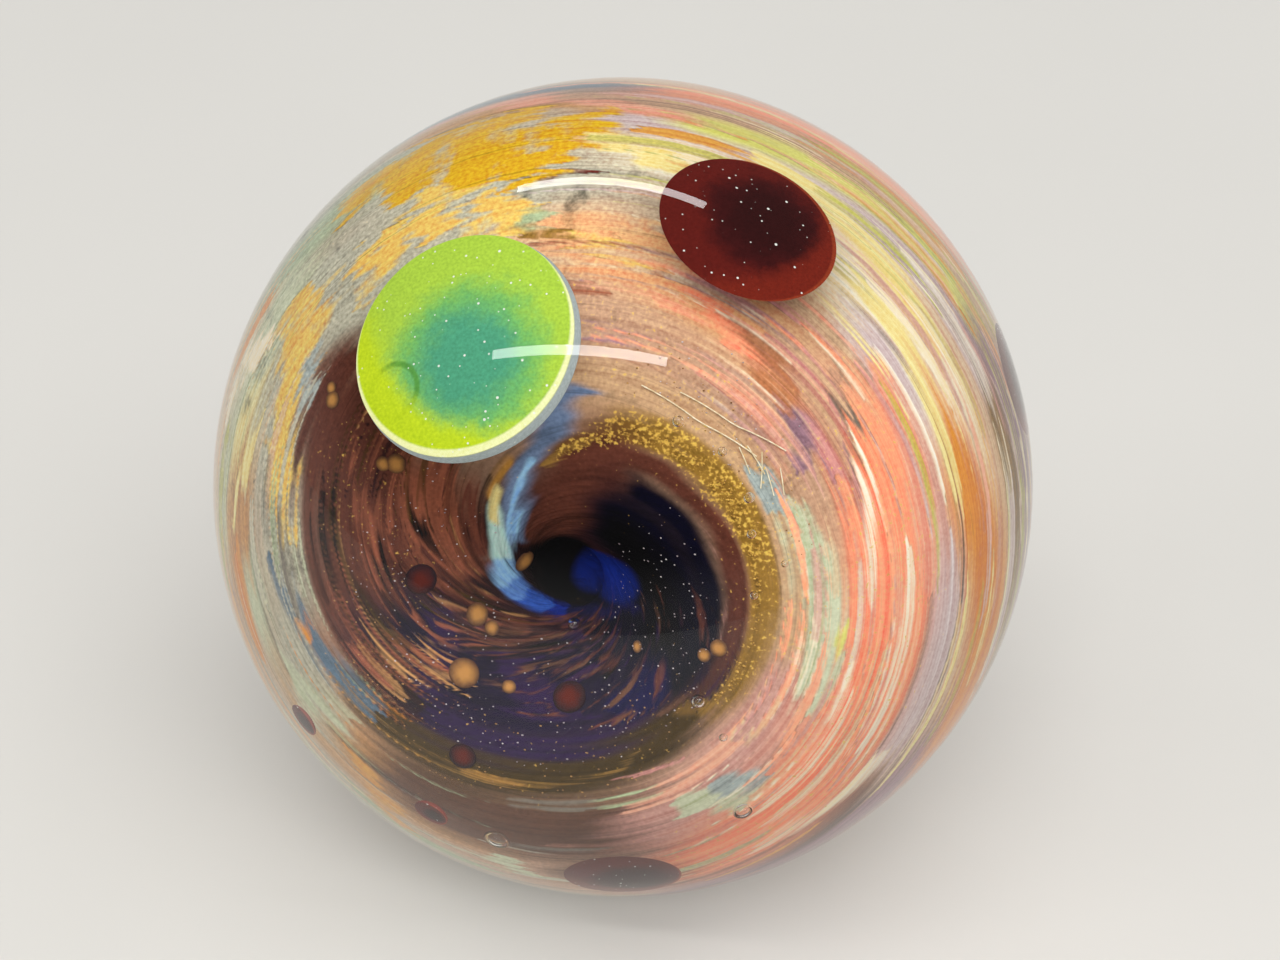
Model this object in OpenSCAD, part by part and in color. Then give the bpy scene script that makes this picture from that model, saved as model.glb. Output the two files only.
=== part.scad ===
// Glass marble: a clear ball cased over a funnel of twisted coloured stripes, with flush dots of
// coloured glass. The origin is the centre of the ball, +Z is up and the front faces -Y.

/* [Ball] */
// Diameter of the finished ball
ball_d = 35; // [26:0.5:60]
// Clear glass between the coloured core and the outside of the ball
casing_t = 3.1; // [2.2:0.1:4]

/* [Funnel] */
// Turn of the funnel's axis to the left of the front, in degrees
funnel_turn = 16; // [-90:1:90]
// Rise of the funnel's axis above the level, in degrees
funnel_rise = 11; // [-60:1:80]
// Angle from the funnel's axis at which its lip rolls over into the round of the core
lip_angle = 64; // [50:1:75]
// Bore of the funnel at its narrowest
throat_d = 0.8; // [0.4:0.1:2]
// Depth of the eye below the crest of the lip
eye_depth = 4.2; // [3:0.1:5]
// Diameter of the bead that closes the throat
eye_d = 3.4; // [2.8:0.1:4.5]

/* [Stripes] */
// Thickness of the layer of coloured stripes on the core
stripe_t = 1; // [0.5:0.1:1.5]
// Twist of the stripes, in degrees for each time the radius shrinks by e
stripe_twist = 120; // [20:5:140]
// Radius inside which the stripes wind up
wind_r = 7; // [4:0.1:9]
// Distance behind the middle of the core at which the stripes end
stripe_end = 2; // [0:0.1:4]

/* [Green dot] */
// Diameter of the green dot on the surface
green_d = 9.6; // [6:0.1:11]
// Depth of the green dot
green_depth = 2; // [1.6:0.1:2.1]
// Radius of the round along the bottom edge of the green dot
green_round = 0.6; // [0.2:0.1:0.9]
// Diameter of the teal middle of the green dot
teal_d = 5; // [2:0.1:5.5]
// Depth of the teal middle
teal_depth = 1.3; // [0.8:0.1:1.5]
// Turn to the left and rise of the green dot, in degrees
green_at = [39, 53]; // [-180:1:180]

/* [Red dots] */
// Diameter of the large red dot
red_large_d = 7.7; // [4:0.1:8.5]
// Diameter of the red dots at the side and below
red_mid_d = 5; // [3:0.1:7]
// Diameter of the small red dots
red_small_d = 1.5; // [1:0.1:3]
// Depth of every red dot beyond the bulge of the ball over it
red_depth = 0.9; // [0.4:0.1:1]
// Turn to the left and rise of the large red dot, in degrees
red_top_at = [-57, 69]; // [-180:1:180]
// Turn to the left and rise of the red dot at the side, in degrees
red_side_at = [-92, 18]; // [-180:1:180]
// Turn to the left and rise of the red dot below, in degrees
red_low_at = [0, -31]; // [-180:1:180]
// Turn to the left and rise of the small red dot further left, in degrees
red_speck_left_at = [52, -14]; // [-180:1:180]
// Turn to the left and rise of the small red dot further down, in degrees
red_speck_low_at = [29, -20]; // [-180:1:180]

/* [Hidden] */
$fn = 240;

ball_r = ball_d / 2;
core_r = ball_r - casing_t;

// The section of the core is two arcs that meet smoothly: the round of the core, and the lip's
// own circle, which touches it from inside at lip_angle and stops short of the axis by the bore.
lip_r = (core_r * sin(lip_angle) - throat_d / 2) / (1 + sin(lip_angle));
lip_ring_r = (core_r - lip_r) * sin(lip_angle);
lip_z = (core_r - lip_r) * cos(lip_angle);
eye_z = lip_z + lip_r - eye_depth;

// Each stripe has a name, a colour and the share of the round that it takes, in degrees.
STRIPES = [
    ["plum_stripe", "#4a2a33", 56],
    ["mint_stripe", "#b9c8ae", 42],
    ["salmon_stripe", "#b98468", 66],
    ["coral_stripe", "#e08a72", 94],
    ["copper_stripe", "#a8795c", 34],
    ["blue_stripe", "#7fa6c4", 12],
    ["mustard_stripe", "#c79a35", 56],
];
stripes_start = 108;
stripe_steps = 44;
stripe_in_r = throat_d / 3;
arc_step = 15;

RED_DOTS = [
    ["red_dot_top", red_large_d, red_top_at],
    ["red_dot_side", red_mid_d, red_side_at],
    ["red_dot_low", red_mid_d, red_low_at],
    ["red_speck_left", red_small_d, red_speck_left_at],
    ["red_speck_low", red_small_d, red_speck_low_at],
];

// Angle that a stripe has turned by the time it has come in to radius r
function wound(r) = stripe_twist / 2 * ln(1 + pow(wind_r / r, 2));

function on_circle(r, a) = r * [cos(a), sin(a)];

// One edge of a stripe seen along the axis, from the throat out past the core
function stripe_edge(a) = [
    for (i = [0:stripe_steps])
        let (r = stripe_in_r * pow(ball_r / stripe_in_r, i / stripe_steps))
        on_circle(r, a + wound(r))
];

function reversed(list) = [for (i = [len(list) - 1:-1:0]) list[i]];

// Angle at which stripe i starts
function stripe_start(i) = i == 0 ? stripes_start : stripe_start(i - 1) + STRIPES[i - 1][2];

// How far the ball bulges over a flat disc of diameter d
function bulge(d) = ball_r - sqrt(pow(ball_r, 2) - pow(d / 2, 2));

// Turns +Z of its children to a place on the ball: turn to the left of the front, and rise
module aim(turn, rise) {
    rotate([0, 0, -turn]) rotate([90 - rise, 0, 0]) children();
}

module along_funnel() {
    aim(funnel_turn, funnel_rise) children();
}

// Half section of the core, pared down all over by skin
module core_section(skin) {
    reach = 2 * ball_r;
    intersection() {
        circle(core_r - skin);
        polygon([
            [0, 0],
            reach * [sin(lip_angle), cos(lip_angle)],
            [reach, -reach],
            [0, -reach],
        ]);
    }
    translate([lip_ring_r, lip_z]) circle(lip_r - skin);
    square([lip_ring_r, eye_z - skin]);
}

module core_round(skin) {
    rotate_extrude() core_section(skin);
}

// Everything in front of the line where the stripes end
module front_part() {
    translate([0, 0, ball_r - stripe_end]) cube(2 * ball_r, center = true);
}

module eye_round() {
    translate([0, 0, eye_z - stripe_t / 2]) sphere(d = eye_d);
}

// Prism over one stripe as it is seen along the axis
module stripe_prism(start, span) {
    arc_r = ball_r / cos(arc_step);
    rim = [
        for (a = [start + arc_step:arc_step:start + span - arc_step / 8])
            on_circle(arc_r, a + wound(ball_r))
    ];
    linear_extrude(height = 2 * ball_r, center = true)
        polygon(concat(stripe_edge(start), rim, reversed(stripe_edge(start + span))));
}

// The ball that cuts a dot's seat: it meets the ball's surface in a circle of diameter d and
// reaches depth below the top of the ball
module seat_ball(d, depth) {
    low = ball_r - depth;
    edge_z = sqrt(pow(ball_r, 2) - pow(d / 2, 2));
    centre = (pow(ball_r, 2) - pow(low, 2)) / (2 * (edge_z - low));
    translate([0, 0, centre]) sphere(centre - low);
}

// The disc that cuts the green dot's seat: straight sides and a flat bottom, with a round between them
module seat_disc() {
    low = ball_r - green_depth;
    rotate_extrude() {
        translate([0, low]) square([green_d / 2 - green_round, 2 * green_depth]);
        translate([0, low + green_round]) square([green_d / 2, 2 * green_depth]);
        translate([green_d / 2 - green_round, low + green_round]) circle(green_round);
    }
}

// What is let into a seat, rounded off with the ball
module flush() {
    intersection() {
        sphere(ball_r);
        children();
    }
}

// The whole ball, turned so that the seam of its surface runs down the back, clear of the dots
module whole_ball() {
    rotate([0, 0, 90]) sphere(ball_r);
}

// The clear glass, open only to what is cased in it and let into it
module clear_casing() {
    color("#dfe8ee", 0.3)
    difference() {
        whole_ball();
        along_funnel() {
            core_round(0);
            eye_round();
        }
        aim(green_at[0], green_at[1]) seat_disc();
        for (dot = RED_DOTS)
            aim(dot[2][0], dot[2][1]) seat_ball(dot[1], red_depth + bulge(dot[1]));
    }
}

// Dark glass that backs the stripes and shows behind them
module core() {
    color("#2c2430")
    along_funnel()
    difference() {
        core_round(0);
        difference() {
            front_part();
            core_round(stripe_t);
        }
        eye_round();
    }
}

module eye_bead() {
    color("#1f3f9c")
    along_funnel() eye_round();
}

// One of the coloured stripes that lie on the core and wind down the funnel to the eye
module stripe(i) {
    color(STRIPES[i][1])
    along_funnel()
    difference() {
        intersection() {
            core_round(0);
            front_part();
            stripe_prism(stripe_start(i), STRIPES[i][2]);
        }
        core_round(stripe_t);
        eye_round();
    }
}

module green_dot() {
    color("#9ccb2c")
    aim(green_at[0], green_at[1])
    difference() {
        flush() seat_disc();
        seat_ball(teal_d, teal_depth);
    }
}

module teal_middle() {
    color("#3f9a72")
    aim(green_at[0], green_at[1]) flush() seat_ball(teal_d, teal_depth);
}

module red_dot(i) {
    color("#4a1512")
    aim(RED_DOTS[i][2][0], RED_DOTS[i][2][1])
        flush() seat_ball(RED_DOTS[i][1], red_depth + bulge(RED_DOTS[i][1]));
}

clear_casing();
core();
eye_bead();
for (i = [0:len(STRIPES) - 1])
    stripe(i);
green_dot();
teal_middle();
for (i = [0:len(RED_DOTS) - 1])
    red_dot(i);
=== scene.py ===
import math
import random
from functools import partial

import bmesh
import bpy
import numpy as np
from mathutils import Matrix, noise, Vector


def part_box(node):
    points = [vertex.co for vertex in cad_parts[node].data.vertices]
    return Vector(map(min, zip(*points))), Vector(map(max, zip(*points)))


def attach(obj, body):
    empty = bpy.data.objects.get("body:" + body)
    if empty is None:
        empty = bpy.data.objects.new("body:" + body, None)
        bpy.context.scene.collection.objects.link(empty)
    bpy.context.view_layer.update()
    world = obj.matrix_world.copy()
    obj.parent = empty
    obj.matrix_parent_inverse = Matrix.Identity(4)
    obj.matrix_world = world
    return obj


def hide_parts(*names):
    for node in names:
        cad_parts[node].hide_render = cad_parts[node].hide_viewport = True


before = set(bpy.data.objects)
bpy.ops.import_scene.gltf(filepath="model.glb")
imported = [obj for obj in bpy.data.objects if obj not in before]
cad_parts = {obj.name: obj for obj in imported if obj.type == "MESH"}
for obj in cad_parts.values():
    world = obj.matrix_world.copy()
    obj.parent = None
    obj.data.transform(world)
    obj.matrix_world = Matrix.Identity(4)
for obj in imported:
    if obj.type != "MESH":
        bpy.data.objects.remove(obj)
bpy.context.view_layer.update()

# Sizes of the ball, in metres
MM = 0.001
ball_low, ball_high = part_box("clear_casing")
BALL_R = (ball_high[2] - ball_low[2]) / 2
CORE_R = BALL_R - 3.1 * MM
LIP_ANGLE = math.radians(64)
THROAT_R = 0.4 * MM
EYE_DEPTH = 4.2 * MM
BEAD_R = 1.7 * MM
STRIPE_T = 1.0 * MM
STRIPE_END = 2.0 * MM
STRIPE_TWIST = 120
WIND_R = 7.0 * MM
# Clear glass left over the top of each dot
DOT_SKIN = 0.04 * MM
# How far the casing's inner wall lies under the outside of the core, and the depth of the core's ribs
WALL_INSET = 0.16 * MM
RIB_DEPTH = 0.05 * MM

# Turn of the funnel's axis to the left of the front, and its rise, in degrees
FUNNEL_AT = (16, 11)

# The lip's circle in the half section of the core, the floor of the funnel and the bead in it
LIP_R = (CORE_R * math.sin(LIP_ANGLE) - THROAT_R) / (1 + math.sin(LIP_ANGLE))
LIP_RING_R = (CORE_R - LIP_R) * math.sin(LIP_ANGLE)
LIP_Z = (CORE_R - LIP_R) * math.cos(LIP_ANGLE)
EYE_Z = LIP_Z + LIP_R - EYE_DEPTH
BEAD_Z = EYE_Z - STRIPE_T / 2

# Arc lengths from the eye along the half section, in ball radii, and angles on the lip's circle
FLOOR_ANGLE = math.asin((EYE_Z - LIP_Z) / LIP_R)
FLOOR_S = (LIP_RING_R - LIP_R * math.cos(FLOOR_ANGLE)) / BALL_R
ROUND_ANGLE = math.pi / 2 + LIP_ANGLE
ROUND_S = FLOOR_S + LIP_R / BALL_R * (ROUND_ANGLE - FLOOR_ANGLE)
BACK_S = ROUND_S + CORE_R / BALL_R * (math.pi - LIP_ANGLE)

# Name, slot and share of the round in degrees of each stripe, counted from STRIPES_START
STRIPES_START = 108
STRIPES = [
    ("plum_stripe", "plum_glass", 56),
    ("mint_stripe", "mint_glass", 42),
    ("salmon_stripe", "salmon_glass", 66),
    ("coral_stripe", "coral_glass", 94),
    ("copper_stripe", "copper_glass", 34),
    ("blue_stripe", "blue_glass", 12),
    ("mustard_stripe", "mustard_glass", 56),
]

# Depth of the red dots beyond the ball's bulge, and the name, diameter, turn to the left and rise of each
RED_DEPTH = 0.9 * MM
RED_DOTS = [
    ("red_dot_top", 7.7 * MM, (-57, 69)),
    ("red_dot_side", 5.0 * MM, (-92, 18)),
    ("red_dot_low", 5.0 * MM, (0, -31)),
    ("red_speck_left", 1.5 * MM, (52, -14)),
    ("red_speck_low", 1.5 * MM, (29, -20)),
]
GREEN_AT = (39, 53)
GREEN_D, GREEN_DEPTH, GREEN_ROUND = 9.6 * MM, 2.0 * MM, 0.6 * MM
TEAL_D, TEAL_DEPTH = 5.0 * MM, 1.3 * MM

# Colours of the glass, as sRGB
PALETTE = {
    "ink": "#050406",
    "navy": "#060518",
    "ultramarine": "#110e3e",
    "cobalt": "#0e2c94",
    "royal": "#3560c0",
    "azure": "#6894d8",
    "sky": "#9ccaf0",
    "ice": "#c8ebe0",
    "slate": "#5a7184",
    "dusk": "#7487a8",
    "steel": "#a3aca8",
    "indigo": "#160c28",
    "violet": "#28143e",
    "aubergine": "#301619",
    "plum": "#643629",
    "copper": "#96553e",
    "umber": "#42300f",
    "bronze": "#967034",
    "gold": "#eac264",
    "mustard": "#e0ac22",
    "straw": "#f2de94",
    "cream": "#f8e8c8",
    "mint": "#c8ccaa",
    "sage": "#a6b48c",
    "moss": "#b8b450",
    "lemon": "#dcd870",
    "coral": "#fc9c74",
    "salmon": "#eca488",
    "peach": "#e6aa76",
    "rose": "#d09a8c",
    "mauve": "#9a7480",
    "lilac": "#ceb6b4",
    "sand": "#deb890",
    "fawn": "#c69e78",
    "rose_brown": "#c49a7c",
    "orange": "#e08a2a",
    # Painted shadow: the reddish shadow that the top red dot casts on the swirl
    "rust": "#b8744c",
    "brick": "#62402f",
    "smoke": "#746c60",
    "stone": "#bcb6a0",
    "amber": "#dc9c48",
    "olive": "#97702e",
    "tan": "#c8925a",
    "pink": "#d08c86",
    "garnet": "#6a1a10",
}

# How the colours lie on the core, drawn as brush strokes. A place is the angle round the funnel in
# degrees and the distance from the eye in ball radii; a stroke has a colour, half its width in ball
# radii and the places it runs through. Later strokes lie over earlier ones. Some end with the most that
# they cover.
# Degrees round the funnel that count as one ball radius
TURN_SPAN = 147
GROUND_COLOUR = "rose_brown"
GROUND = [
    # Outer fields round the ball, from the right over the top to the left and below
    ("sand", 0.20, [(-10, 1.10), (30, 1.20), (70, 1.30)]),
    ("cream", 0.10, [(22, 1.20), (48, 1.22), (80, 1.26)]),
    ("lilac", 0.06, [(20, 1.42), (44, 1.43), (64, 1.42), (94, 1.39)]),
    ("lemon", 0.05, [(28, 1.53), (46, 1.53), (62, 1.49), (80, 1.45)]),
    ("coral", 0.07, [(40, 1.77), (56, 1.75), (70, 1.70), (84, 1.66), (94, 1.64)]),
    ("stone", 0.16, [(100, 0.98), (112, 1.12), (122, 1.30), (134, 1.40)]),
    ("stone", 0.12, [(134, 0.92), (142, 1.05), (150, 1.00)]),
    ("tan", 0.030, [(102, 1.47), (118, 1.49), (136, 1.48), (146, 1.42)]),
    ("salmon", 0.022, [(86, 1.45), (100, 1.48), (114, 1.53), (130, 1.54)]),
    ("slate", 0.07, [(104, 1.64), (114, 1.63), (126, 1.62), (138, 1.60)]),
    ("sage", 0.10, [(142, 1.32), (156, 1.24), (170, 1.16)]),
    ("mint", 0.08, [(156, 1.12), (168, 1.02), (180, 0.98)]),
    ("sand", 0.12, [(176, 1.20), (200, 1.14), (224, 1.10)]),
    ("straw", 0.05, [(166, 0.96), (176, 0.91), (186, 0.92)]),
    ("tan", 0.07, [(180, 0.90), (194, 0.88), (208, 0.92)]),
    ("mint", 0.05, [(194, 0.80), (204, 0.78), (216, 0.745)]),
    ("stone", 0.08, [(156, 0.90), (166, 0.80), (176, 0.73), (186, 0.68)]),
    ("stone", 0.14, [(226, 0.92), (245, 0.98), (262, 1.10)]),
    ("smoke", 0.10, [(268, 1.20), (288, 1.14), (304, 1.10)]),
    ("mauve", 0.09, [(296, 1.02), (314, 1.10), (332, 1.22)]),
    ("lilac", 0.05, [(336, 1.00), (352, 1.04), (368, 1.05), (386, 1.06), (402, 1.11)]),
    ("orange", 0.085, [(334, 1.27), (350, 1.245), (364, 1.21), (374, 1.17)]),
    ("bronze", 0.05, [(334, 1.42), (350, 1.41), (366, 1.40), (376, 1.40)]),
    ("mauve", 0.07, [(-16, 1.52), (4, 1.53), (22, 1.50)]),
    # The back
    ("stone", 0.10, [(150, 1.48), (210, 1.42), (270, 1.36)]),
    ("sand", 0.10, [(100, 1.76), (180, 1.78), (260, 1.72)]),
    ("copper", 0.08, [(-10, 1.78), (40, 1.92), (90, 1.98)]),
    ("rose", 0.10, [(240, 1.88), (320, 1.98), (400, 2.08)]),
    ("mauve", 0.10, [(40, 2.22), (140, 2.28), (230, 2.34)]),
    # The warm ring that the funnel opens out of
    ("tan", 0.10, [(216, 0.72), (230, 0.70), (248, 0.68)]),
    # The first brick stroke is partly painted shade: the ring's own brown-pink made darker at the bottom of
    # the ball
    ("brick", 0.10, [(246, 0.63), (270, 0.62), (296, 0.62)]),
    ("brick", 0.07, [(284, 0.80), (302, 0.88), (318, 0.98)]),
    ("rose", 0.10, [(304, 0.66), (330, 0.62), (350, 0.66)]),
    ("stone", 0.07, [(204, 0.70), (214, 0.70)]),
    ("coral", 0.13, [(312, 0.82), (340, 0.82), (362, 0.86), (384, 0.93)]),
    ("peach", 0.09, [(62, 0.90), (84, 0.92), (92, 0.98)]),
    ("rose_brown", 0.11, [(36, 0.70), (64, 0.72), (90, 0.74)]),
    ("fawn", 0.07, [(4, 0.62), (30, 0.64), (60, 0.64), (84, 0.62)]),
    # Down into the funnel
    ("aubergine", 0.22, [
        (0, 0.20), (60, 0.24), (120, 0.20), (180, 0.20), (240, 0.20), (300, 0.20), (360, 0.20)]),
    ("plum", 0.11, [(148, 0.62), (164, 0.57), (180, 0.53), (198, 0.48), (216, 0.44)]),
    ("plum", 0.15, [(196, 0.34), (164, 0.46), (146, 0.60)]),
    ("copper", 0.08, [(176, 0.26), (150, 0.36), (136, 0.44)]),
    ("plum", 0.08, [(152, 0.72), (142, 0.78)]),
    ("indigo", 0.13, [(204, 0.40), (236, 0.34), (280, 0.28), (322, 0.28), (356, 0.28)]),
    ("aubergine", 0.06, [(180, 0.21), (210, 0.18), (246, 0.17)]),
    ("violet", 0.06, [(228, 0.47), (272, 0.43), (312, 0.41), (346, 0.41)]),
    ("umber", 0.045, [(216, 0.57), (240, 0.525), (270, 0.485), (302, 0.465), (332, 0.465), (354, 0.48)]),
    ("olive", 0.028, [
        (334, 0.48), (350, 0.525), (375, 0.575), (400, 0.60), (421, 0.585), (431, 0.56), (446, 0.47)]),
    ("plum", 0.10, [(122, 0.13), (98, 0.22), (84, 0.34), (74, 0.46)]),
    ("plum", 0.030, [(344, 0.455), (360, 0.49), (376, 0.52), (398, 0.54), (416, 0.53), (432, 0.50)]),
    ("navy", 0.12, [(-14, 0.35), (18, 0.36), (42, 0.36), (56, 0.34)]),
    ("navy", 0.035, [(-24, 0.40), (0, 0.43), (20, 0.455), (42, 0.465), (58, 0.45)]),
    ("ink", 0.07, [(-6, 0.30), (24, 0.31), (56, 0.30)]),
    ("ink", 0.09, [(0, 0.02), (120, 0.02), (240, 0.02), (360, 0.02)]),
    ("ink", 0.06, [(62, 0.10), (92, 0.10), (124, 0.07), (160, 0.06)]),
    ("navy", 0.09, [(318, 0.14), (342, 0.16), (368, 0.19)]),
    ("dusk", 0.030, [(134, 0.200), (117, 0.275), (105, 0.365), (97, 0.45), (91, 0.54), (87, 0.59)]),
    ("ultramarine", 0.014, [(364, 0.24), (342, 0.17), (312, 0.115), (286, 0.100), (258, 0.10)]),
    ("cobalt", 0.020, [(272, 0.10), (252, 0.103), (232, 0.113)]),
    ("royal", 0.021, [(246, 0.105), (222, 0.12), (198, 0.14), (182, 0.155)]),
    ("azure", 0.023, [(206, 0.135), (188, 0.15), (172, 0.168), (160, 0.185)]),
    ("sky", 0.024, [(184, 0.155), (166, 0.178), (148, 0.20), (132, 0.235)]),
    ("ice", 0.027, [(156, 0.195), (144, 0.215), (133, 0.255), (124, 0.31)]),
    ("amber", 0.016, [(121, 0.36), (114, 0.395), (107, 0.43)]),
    ("straw", 0.017, [(129, 0.285), (121, 0.335), (116, 0.365)]),
    ("sky", 0.010, [(128, 0.225), (114, 0.29), (104, 0.36), (97, 0.43)]),
]

# The blue oval beside the pupil, seen along the funnel from the eye: its middle, half its length and width
# in ball radii, and the angle of its length
IRIS_AT, IRIS_HALF, IRIS_ANGLE = (0.137, 0.050), (0.120, 0.084), math.radians(26)

# Places that torn and thin streaks are kept off: strength, half width and places
QUIET = [
    (1.0, 0.050, [(240, 0.10), (196, 0.14), (160, 0.19), (132, 0.25), (114, 0.35), (100, 0.43)]),
    (1.0, 0.140, [(-16, 0.12), (16, 0.16), (50, 0.16)]),
    (0.8, 0.100, [(-10, 0.34), (20, 0.36), (50, 0.36)]),
    (0.7, 0.060, [(98, 0.22), (84, 0.32), (76, 0.42)]),
    (1.0, 0.080, [(0, 0.02), (120, 0.02), (240, 0.02), (360, 0.02)]),
]

# Broad streaks with torn edges
RIBBONS = [
    ("violet", 0.05, [(196, 0.30), (214, 0.36), (226, 0.42)]),
    ("violet", 0.04, [(236, 0.25), (262, 0.30), (290, 0.33)]),
    ("ultramarine", 0.05, [(300, 0.34), (322, 0.36), (346, 0.34)]),
    ("aubergine", 0.05, [(206, 0.50), (228, 0.47)]),
    ("slate", 0.032, [(224, 0.545), (210, 0.59), (197, 0.66), (186, 0.74)], 0.9),
    ("gold", 0.034, [(149, 0.96), (158, 0.84), (168, 0.76), (178, 0.68)]),
    ("mint", 0.04, [(222, 0.62), (214, 0.70), (216, 0.78)], 0.7),
    ("mint", 0.050, [(346, 0.70), (368, 0.70), (394, 0.70)]),
    ("mint", 0.030, [(340, 0.68), (354, 0.75)]),
    ("lemon", 0.015, [(356, 0.72), (362, 0.75)]),
    ("steel", 0.025, [(30, 0.66), (42, 0.69)]),
    ("mint", 0.04, [(308, 0.60), (316, 0.68), (314, 0.74)]),
    ("steel", 0.03, [(318, 0.62), (324, 0.70)]),
    ("salmon", 0.025, [(270, 0.66), (290, 0.68), (308, 0.70)], 0.4),
    ("mauve", 0.035, [(36, 0.76), (44, 0.84), (54, 0.92)]),
    ("pink", 0.035, [(30, 0.82), (44, 0.90), (54, 0.95)]),
    ("smoke", 0.014, [(24, 0.83), (30, 0.87), (38, 0.93), (50, 1.00)], 0.7),
    # Painted shadow: the reddish shadow that the top red dot casts on the swirl below it
    ("rust", 0.04, [(46, 0.82), (60, 0.90)]),
    ("steel", 0.022, [(150, 0.80), (146, 0.92), (146, 1.04)]),
    ("mustard", 0.032, [(136, 1.20), (134, 1.40)]),
    ("mustard", 0.036, [(126, 1.16), (124, 1.46)]),
    ("mustard", 0.044, [(115, 1.13), (113, 1.48)]),
    ("mustard", 0.022, [(107, 1.11), (106, 1.24)]),
    ("mustard", 0.030, [(102, 1.20), (99, 1.46)]),
    ("gold", 0.030, [(123, 1.00), (121, 1.17)]),
    ("gold", 0.024, [(112, 0.97), (111, 1.12)]),
    ("gold", 0.020, [(106, 0.97), (104, 1.06)]),
    ("gold", 0.026, [(133, 0.90), (132, 1.10)]),
    ("gold", 0.032, [(148, 0.88), (147, 1.10)]),
    ("gold", 0.026, [(155, 0.84), (153, 1.02)]),
    ("bronze", 0.030, [(101, 0.96), (97, 1.00)]),
    ("gold", 0.036, [(92, 0.93), (85, 0.97)]),
    ("garnet", 0.020, [(105, 1.155), (100, 1.16)]),
    ("sage", 0.026, [(105, 1.02), (99, 1.035)]),
    ("peach", 0.050, [(87, 1.00), (78, 1.01)]),
    ("peach", 0.050, [(73, 0.90), (62, 0.94)]),
    ("orange", 0.016, [(150, 1.25), (160, 1.20), (172, 1.17)]),
    ("cream", 0.03, [(154, 1.04), (164, 1.12), (176, 1.10)]),
    ("orange", 0.03, [(186, 0.90), (196, 0.87), (208, 0.88)]),
    ("amber", 0.03, [(196, 0.98), (210, 0.96), (224, 0.94)]),
    ("moss", 0.02, [(170, 1.06), (184, 1.02), (196, 1.00)]),
    ("sage", 0.03, [(232, 0.84), (246, 0.86), (260, 0.88)]),
    ("steel", 0.03, [(246, 0.98), (262, 1.00), (280, 1.04)]),
    ("amber", 0.03, [(228, 0.70), (238, 0.76), (244, 0.86)]),
    ("cream", 0.030, [(308, 0.86), (322, 0.92), (334, 1.00)], 0.7),
    ("coral", 0.050, [(346, 0.85), (372, 0.89), (392, 0.93)]),
    ("straw", 0.02, [(326, 1.06), (344, 1.10), (362, 1.12)]),
    ("orange", 0.045, [(344, 1.24), (358, 1.22), (370, 1.19)]),
    ("salmon", 0.05, [(4, 0.98), (22, 1.02), (40, 1.10)]),
    ("straw", 0.04, [(30, 1.28), (52, 1.34), (74, 1.40)]),
    ("amber", 0.022, [(72, 1.36), (82, 1.37), (92, 1.35)]),
    ("straw", 0.03, [(66, 1.22), (84, 1.25), (98, 1.30)]),
    ("coral", 0.03, [(62, 0.84), (70, 0.98)]),
    ("orange", 0.03, [(34, 1.63), (52, 1.64), (68, 1.60)]),
    # Round the back, where the colours run together
    ("plum", 0.06, [(96, 1.82), (150, 1.86), (204, 1.84)]),
    ("sage", 0.06, [(170, 1.58), (224, 1.64), (276, 1.62)]),
    ("cream", 0.05, [(236, 1.42), (290, 1.46), (336, 1.52)]),
    ("slate", 0.05, [(286, 1.78), (340, 1.86), (398, 1.90)]),
    ("coral", 0.06, [(118, 2.06), (180, 2.08), (240, 2.02)]),
    ("mint", 0.05, [(14, 2.02), (66, 2.06), (120, 2.20)]),
    ("straw", 0.04, [(214, 2.22), (280, 2.26), (340, 2.20)]),
    ("orange", 0.04, [(250, 1.94), (300, 2.00), (346, 2.06)]),
    ("aubergine", 0.06, [(40, 2.40), (160, 2.44), (300, 2.42)]),
]

# Thin streaks, flakes and flashes, one of them a painted reflection
WISPS = [
    ("bronze", 0.018, [(92, 0.41), (86, 0.46), (78, 0.52)], 0.7),
    ("bronze", 0.009, [(206, 0.60), (228, 0.56), (250, 0.52), (276, 0.49), (306, 0.47)], 0.45),
    ("rose", 0.007, [
        (352, 0.445), (366, 0.478), (380, 0.497), (398, 0.508), (416, 0.500), (428, 0.478)], 0.25),
    ("cream", 0.022, [(316, 0.76), (330, 0.78), (350, 0.80)], 0.7),
    ("cream", 0.018, [(330, 0.88), (350, 0.90), (372, 0.94)], 0.7),
    ("cream", 0.016, [(6, 0.82), (20, 0.86), (34, 0.92)], 0.7),
    ("straw", 0.020, [(14, 1.12), (34, 1.16), (58, 1.22)]),
    ("salmon", 0.020, [(290, 0.58), (310, 0.57), (330, 0.57)], 0.7),
    ("mint", 0.020, [(262, 0.74), (268, 0.82)]),
    # Painted reflection: this pale steel streak stands in for a reflection on the glass over it
    ("steel", 0.016, [(152, 0.78), (150, 0.86)], 0.6),
    ("orange", 0.014, [(198, 0.62), (196, 0.68)], 0.5),
    ("straw", 0.016, [(164, 0.92), (174, 0.90), (184, 0.92)]),
    ("umber", 0.014, [(206, 0.42), (186, 0.50), (168, 0.60)], 0.5),
    ("ink", 0.010, [(196, 0.44), (176, 0.54), (160, 0.66)], 0.35),
    ("ink", 0.010, [(188, 0.56), (172, 0.64), (156, 0.76)], 0.35),
    ("copper", 0.016, [(176, 0.42), (160, 0.52), (148, 0.64)], 0.7),
]

# Angle, distance from the eye and diameter in mm of single beads of amber glass
AMBER_BEADS = [
    (228, 0.335, 1.1), (204, 0.245, 0.85), (218, 0.230, 0.55), (165, 0.125, 0.8), (250, 0.300, 0.5),
    (142, 0.535, 0.8), (145, 0.555, 0.6), (146, 0.745, 0.7), (145, 0.770, 0.5), (338, 0.280, 0.45),
    (356, 0.470, 0.7), (352, 0.440, 0.55),
]

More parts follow.
